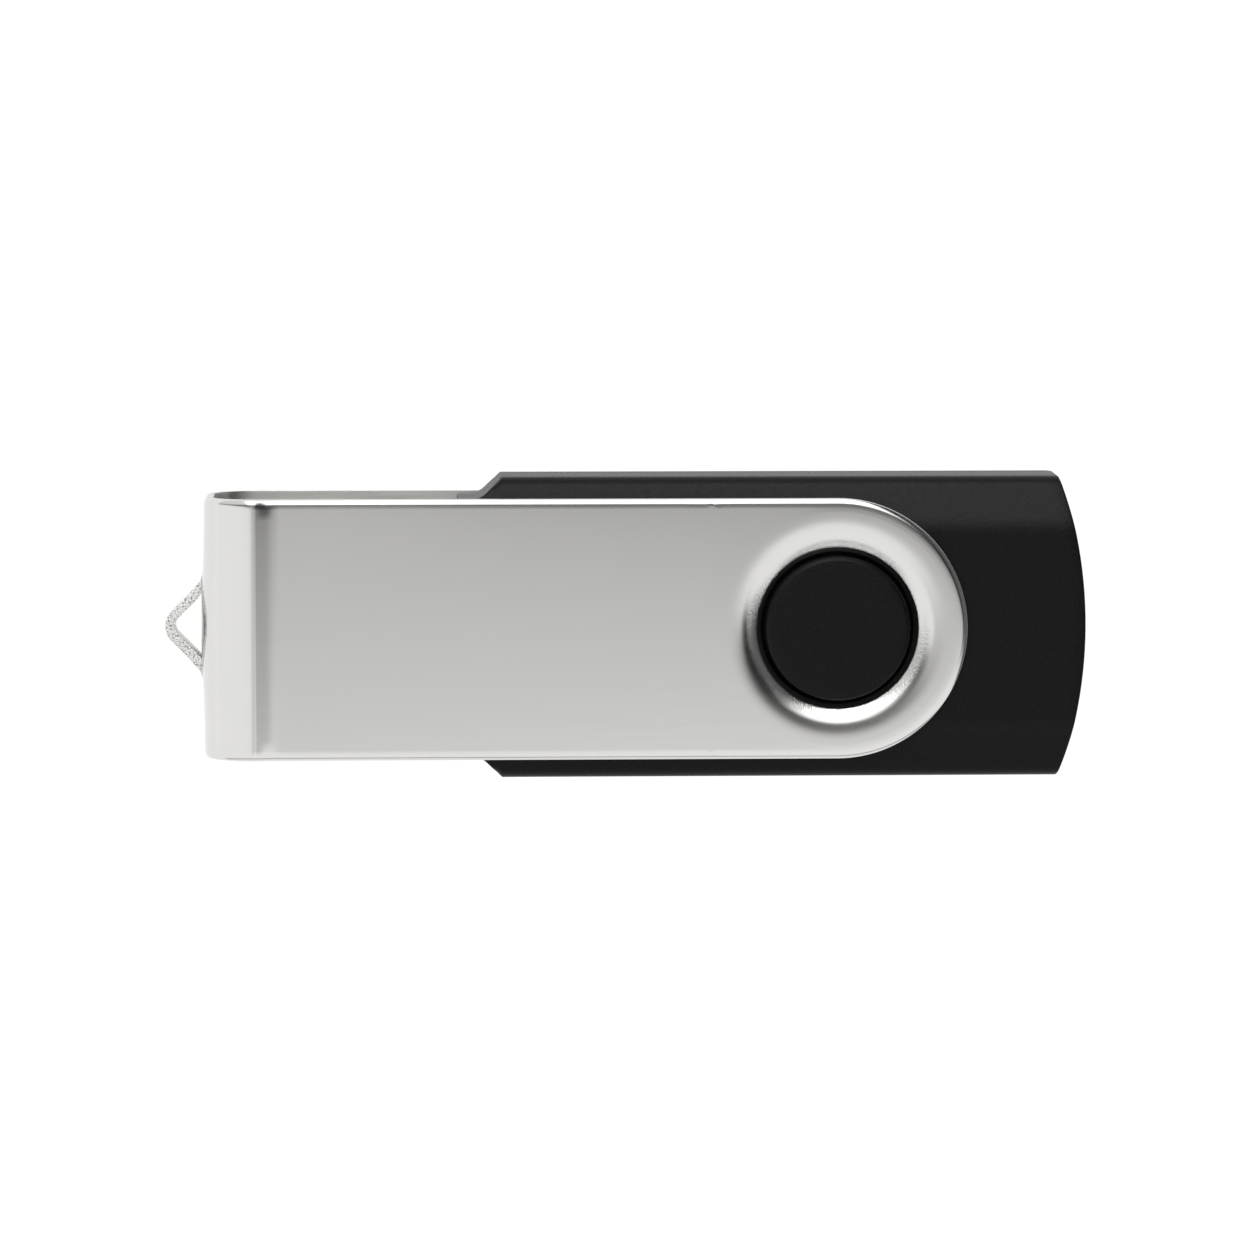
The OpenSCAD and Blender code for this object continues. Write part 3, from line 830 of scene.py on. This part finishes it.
def finish_inside():
    """Materials and edges for everything that stays as CAD made it."""
    laminate = plain_grain("solder_mask", (0.02, 0.16, 0.07), 0.35, 0.4, 0.004)
    resin = plain_grain("moulded_resin", (0.035, 0.035, 0.037), 0.55, 0.08, 0.006)
    tin = plain_grain("matt_tin", (0.72, 0.72, 0.73), 0.35, 0.1, 0.003, metallic=1.0)
    gold = plain_grain("gold_flash", (0.86, 0.64, 0.3), 0.24, 0.2, 0.002, metallic=1.0)
    white = plain_grain("insulator_white", (0.78, 0.78, 0.75), 0.45, 0.3, 0.003, spread_share=0.04)
    ceramic = plain_grain("fired_ceramic", (0.60, 0.55, 0.42), 0.6, 0.1, 0.004)
    brown = plain_grain("capacitor_ceramic", (0.42, 0.29, 0.17), 0.5, 0.1, 0.004)
    overcoat = plain_grain("resistor_overcoat", (0.03, 0.03, 0.035), 0.4, 0.1, 0.003)
    lens = plain_grain("led_lens", (0.75, 0.78, 0.62), 0.15, 0.3, 0.001)
    plan = [
        (laminate, 0.04, ["circuit_board"]),
        (resin, 0.08, ["flash_package", "controller_package"]),
        (tin, 0.015, ["flash_leads", "controller_leads", "resistor_terminals", "capacitor_terminals"]),
        (tin, 0.03, ["led_terminals", "crystal_lid", "tab_solder"]),
        (gold, 0.03, ["contact_vbus", "contact_dminus", "contact_dplus", "contact_ground"]),
        (gold, 0.01, ["board_pads"]),
        (white, 0.06, ["plug_insulator"]),
        (ceramic, 0.03, ["crystal_base"]),
        (brown, 0.03, ["capacitors"]),
        (overcoat, 0.02, ["resistors"]),
        (lens, 0.03, ["status_led"]),
    ]
    for material, edge, nodes in plan:
        for node in nodes:
            finish_cad_node(node, material, edge)


# ---------- plug ----------


def plug_outline(depth):
    """Points round the plug's cross-section at a depth into its sheet, with the bottom seam first."""
    half_w = plug_high.y - depth
    half_h = PLUG_HALF_HEIGHT - depth
    radius = PLUG_CORNER - depth
    flat = [PLUG_SEAM / 2, 1.1, WINDOW_NEAR, WINDOW_FAR, half_w - radius]
    side = [-(half_h - radius), -0.9, BOARD_TOP + 0.15, 1.0, half_h - radius]
    right = [(y, -half_h) for y in flat]
    for angle in spread(-pi / 2, 0, 6)[1:-1]:
        right.append((half_w - radius + radius * cos(angle), -half_h + radius + radius * sin(angle)))
    right += [(half_w, z) for z in side]
    for angle in spread(0, pi / 2, 6)[1:-1]:
        right.append((half_w - radius + radius * cos(angle), half_h - radius + radius * sin(angle)))
    right += [(y, half_h) for y in reversed(flat[1:])]
    right.append((0, half_h))
    return right + [(-y, z) for y, z in reversed(right[:-1])]


def make_plug_shell():
    """The plug's folded steel shell: latch windows, bottom seam, curled front rim, board tabs."""
    sheet = Sheet()
    tip = plug_low.x
    window_end = WINDOW_SETBACK + WINDOW_LENGTH
    stations = [0, 0.15, 0.35, PLUG_CURL_LENGTH, 1.2, 3, WINDOW_SETBACK, window_end, 9, 12, 15.5, PLUG_LENGTH]
    outer, inner = plug_outline(0), plug_outline(PLUG_SHEET)

    def pair(i, x):
        curl = PLUG_CURL * max(0.0, 1 - x / PLUG_CURL_LENGTH) ** 2
        points = []
        for y, z in (outer[i], inner[i]):
            shrink_y = curl if y > 0.1 else -curl if y < -0.1 else 0
            shrink_z = curl if z > 0 else -curl
            points.append((tip + x, y - shrink_y, MIDDLE + z - shrink_z))
        return tuple(points)

    for i in range(len(outer) - 1):
        for a, b in zip(stations, stations[1:]):
            middle_y = abs(outer[i][0] + outer[i + 1][0]) / 2
            level = outer[i][1] == outer[i + 1][1]
            window = a == WINDOW_SETBACK and level and WINDOW_NEAR < middle_y < WINDOW_FAR
            if not window:
                sheet.grid([[pair(i, a), pair(i + 1, a)], [pair(i, b), pair(i + 1, b)]])
    rear = tip + PLUG_LENGTH
    side_y = plug_high.y
    for s in (1, -1):

        def wall(x, z):
            return ((x, s * side_y, MIDDLE + z), (x, s * (side_y - PLUG_SHEET), MIDDLE + z))

        low, high = BOARD_TOP + 0.15, 1.0
        leg_x = rear + TAB_LENGTH - TAB_LEG
        end_x = rear + TAB_LENGTH
        sheet.grid([[wall(x, z) for x in (rear, leg_x, end_x)] for z in (high, low)])
        sheet.grid([[wall(leg_x, z), wall(end_x, z)] for z in (low, -0.7, BOARD_BOTTOM - 0.5)])
    shell = sheet.build("plug_shell_steel", "housing", lambda point: True)
    round_edges(shell, PLUG_BURR, by_weight=True)
    bright = plain_grain("bright_nickel", (0.76, 0.75, 0.72), 0.16, 0.2, 0.0012, metallic=1.0)
    cut = plain_grain("plug_edge", (0.66, 0.65, 0.62), 0.35, 0.1, 0.006, metallic=1.0)
    for material in (bright, cut, bright):
        shell.data.materials.append(material)
    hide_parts("plug_shell")


# ---------- setting ----------


def make_floor():
    """A plain white floor that reads as the light table under the drive."""
    size = 3000
    steps = 12
    gap = 0.02
    points = [(x, y, -gap) for x in spread(-size, size, steps) for y in spread(-size, size, steps)]
    row = steps + 1
    firsts = [r * row + c for r in range(steps) for c in range(steps)]
    faces = [(i, i + row, i + row + 1, i + 1) for i in firsts]
    floor = new_object("floor", points, faces, None)
    s = Shader("light_table", Base_Color=(0.04, 0.04, 0.04, 1), Roughness=0.9)
    s.bsdf.inputs["Emission Color"].default_value = (1, 1, 1, 1)
    s.bsdf.inputs["Emission Strength"].default_value = 1.0
    floor.data.materials.append(s.material)


def make_world():
    """A studio as the drive sees it: soft boxes at the far, left and near sides round a grey zenith.

    The light depends only on the direction it comes from: x towards the drive's rear, y to the far side.
    """
    world = bpy.data.worlds.new("studio")
    bpy.context.scene.world = world
    world.use_nodes = True
    tree = world.node_tree
    background = tree.nodes["Background"]
    place = tree.nodes.new("ShaderNodeTexCoord").outputs["Generated"]
    axes = tree.nodes.new("ShaderNodeSeparateXYZ")
    tree.links.new(place, axes.inputs[0])

    def ramp(source, low, high, to_low=0.0, to_high=1.0):
        made = tree.nodes.new("ShaderNodeMapRange")
        made.interpolation_type = "SMOOTHSTEP"
        tree.links.new(source, made.inputs["Value"])
        for key, value in (("From Min", low), ("From Max", high), ("To Min", to_low), ("To Max", to_high)):
            made.inputs[key].default_value = value
        return made.outputs["Result"]

    def math(kind, first, second):
        made = tree.nodes.new("ShaderNodeMath")
        made.operation = kind
        for i, value in enumerate((first, second)):
            if hasattr(value, "is_linked"):
                tree.links.new(value, made.inputs[i])
            else:
                made.inputs[i].default_value = value
        return made.outputs[0]

    x, y = axes.outputs[0], axes.outputs[1]

    # Near soft box: its upper border leans, and it stops short of the near right corner
    far_right = math("MAXIMUM", math("ADD", x, -0.25), 0.0)
    slanted = math("ADD", y, math("MULTIPLY", math("MULTIPLY", far_right, far_right), 1.1))
    fanned = math("MULTIPLY", math("ADD", slanted, 0.083), ramp(x, -0.06, 0.08, 0.3, 1.15))
    near_side = math("MULTIPLY", ramp(fanned, -0.063, 0.09, 1, 0), ramp(y, -0.02, 0.1, 1, 0))
    shade = math("MULTIPLY", ramp(x, 0.22, 0.4), ramp(y, -0.19, -0.11))
    near_side = math("MULTIPLY", near_side, math("SUBTRACT", 1.0, shade))

    # Left soft box
    skewed = math("ADD", y, math("MULTIPLY", x, 0.2))
    left_side = math("MULTIPLY", ramp(x, -0.02, -0.2), ramp(skewed, -0.01, -0.09))
    white = math("MAXIMUM", near_side, left_side)
    white_level = math("ADD", ramp(y, -0.6, -0.67, 1.08, 0.4), ramp(y, -0.73, -0.8, 0, 0.62))

    # The unlit part of the studio, darkest to the right
    dark = math("SUBTRACT", ramp(x, 0.05, 0.32, 0.18, 0.02), ramp(x, -0.1, -0.3, 0, 0.08))
    dark = math("ADD", dark, ramp(x, 0.42, 0.56, 0, 0.12))
    light = math("ADD", dark, math("MULTIPLY", white, math("SUBTRACT", white_level, dark)))

    # Far soft box, the brightest, with a dimmer stretch to its left
    far_side = ramp(y, 0.14, 0.31)
    far_box = math("MULTIPLY", far_side, math("MULTIPLY", ramp(x, -0.36, -0.18), ramp(x, 0.34, 0.2)))
    far_level = math("MULTIPLY", ramp(y, 0.42, 0.58, 2.5, 4.8), ramp(y, 0.7, 0.88, 1, 0.25))
    light = math("ADD", light, math("MULTIPLY", far_box, far_level))
    far_left = math("MULTIPLY", far_side, ramp(x, -0.18, -0.36))
    light = math("MINIMUM", math("ADD", light, math("MULTIPLY", far_left, 0.75)), 5.0)
    tree.links.new(light, background.inputs["Strength"])
    background.inputs["Color"].default_value = (1, 1, 1, 1)


def make_camera():
    """A long lens almost straight above, leaning a little to the far side."""
    camera = bpy.data.objects.new("camera", bpy.data.cameras.new("camera"))
    bpy.context.scene.collection.objects.link(camera)
    distance = 365
    lean_far = radians(4.8)
    lean_left = radians(2.5)
    target = Vector((0.10, -0.12, MIDDLE))
    back = Vector((-tan(lean_left), tan(lean_far), 1)).normalized()
    camera.location = (target + back * distance) * MM
    right = Vector((0, 1, 0)).cross(back).normalized()
    up = back.cross(right)
    camera.rotation_mode = "QUATERNION"
    camera.rotation_quaternion = Matrix((right, up, back)).transposed().to_quaternion()
    frame_width = 78.4
    sensor = 36
    camera.data.sensor_width = sensor
    camera.data.lens = sensor * distance / frame_width
    camera.data.clip_start = 0.01
    camera.data.clip_end = 20
    bpy.context.scene.camera = camera


def main():
    """Builds the setting, the camera and every visible piece."""
    bpy.context.scene.view_settings.view_transform = "Standard"
    make_world()
    make_floor()
    make_camera()
    make_cover()
    make_shell("upper_shell", True)
    make_shell("lower_shell", False)
    make_plug_shell()
    finish_inside()


main()
